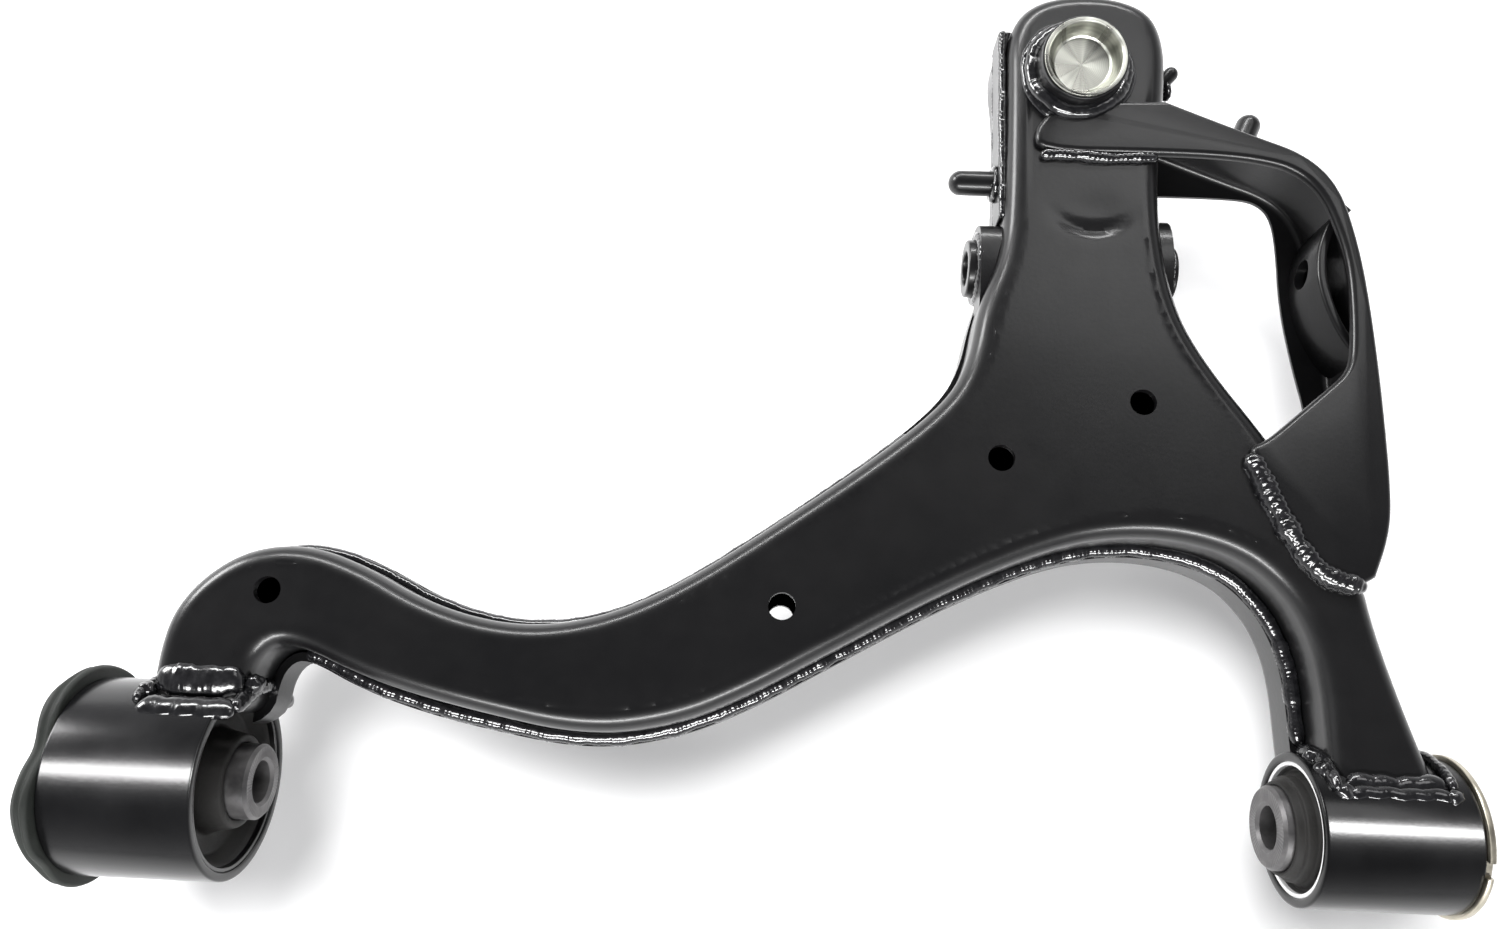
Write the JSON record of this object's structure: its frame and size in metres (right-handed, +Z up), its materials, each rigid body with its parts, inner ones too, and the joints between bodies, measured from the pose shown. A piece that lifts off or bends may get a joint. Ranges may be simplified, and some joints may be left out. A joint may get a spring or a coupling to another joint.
{
  "type": "control arm",
  "caption": "Welded two-piece sheet steel lower control arm with two rubber pivot bushes, a ball joint, a cross tube for the damper bolt and a channel bracket for the stabiliser link.",
  "frame": {"origin": "middle of the front bush bore, on the pivot axis", "axes": "+X along the pivot axis, away from the rear bush; +Y from the pivots toward the ball joint; +Z up, out of the closed top of the box section"},
  "size_m": [0.547, 0.3933, 0.1197],
  "materials": {
    "black_paint": "gloss",
    "plated_steel": "satin",
    "grey_steel": "matte",
    "bush_rubber": "matte",
    "boot_rubber": "matte",
    "turned_steel": "turned, bright",
    "bearing_plastic": "matte"
  },
  "bodies": {
    "arm": {"upper_pressing": "black_paint", "lower_pressing": "black_paint", "neck_side_plate": "black_paint", "damper_tube": "black_paint", "left_tube_doubler": "black_paint", "right_tube_doubler": "black_paint", "stabiliser_bracket": "black_paint", "link_plate": "black_paint", "side_pin": "black_paint", "bracket_pin": "black_paint", "neck_stud": "black_paint", "rear_housing": "black_paint", "front_housing": "black_paint", "ball_housing": "black_paint", "rear_outer_sleeve": "plated_steel", "front_outer_sleeve": "plated_steel", "rear_rubber": "bush_rubber", "rear_end_flange": "bush_rubber", "front_rubber": "bush_rubber", "dished_cap": "turned_steel", "bearing_shell": "bearing_plastic", "boot_clip": "plated_steel", "upper_boot": "boot_rubber"},
    "rear_sleeve": {"rear_inner_sleeve": "grey_steel"},
    "front_sleeve": {"front_inner_sleeve": "grey_steel"},
    "boot_waist": {"boot_waist_ring": "boot_rubber", "lower_boot": "boot_rubber"},
    "boot_neck": {"boot_neck_clip": "boot_rubber"},
    "stud": {"ball_stud": "plated_steel"}
  },
  "joints": [
    {"name": "rear_bush_twist", "type": "hinge", "parent": "arm", "child": "rear_sleeve", "pos_m": [-0.465, 0, 0], "axis": [1, 0, 0], "range_deg": [-25, 25], "stiffness_Nm_per_rad": 80},
    {"name": "front_bush_twist", "type": "hinge", "parent": "arm", "child": "front_sleeve", "pos_m": [0, 0, 0], "axis": [1, 0, 0], "range_deg": [-25, 25], "stiffness_Nm_per_rad": 60},
    {"name": "stud_swing", "type": "hinge", "parent": "arm", "child": "boot_waist", "pos_m": [-0.111, 0.3085, 0.004], "axis": [1, 0, 0], "range_deg": [-15, 15], "deforming": ["upper_boot"]},
    {"name": "stud_rock", "type": "hinge", "parent": "boot_waist", "child": "boot_neck", "pos_m": [-0.111, 0.3085, 0.004], "axis": [0, 0.9925, 0.1219], "range_deg": [-15, 15], "deforming": ["lower_boot"]},
    {"name": "stud_spin", "type": "hinge", "parent": "boot_neck", "child": "stud", "pos_m": [-0.111, 0.3085, 0.004], "axis": [0, 0.1219, -0.9925], "continuous": true}
  ]
}
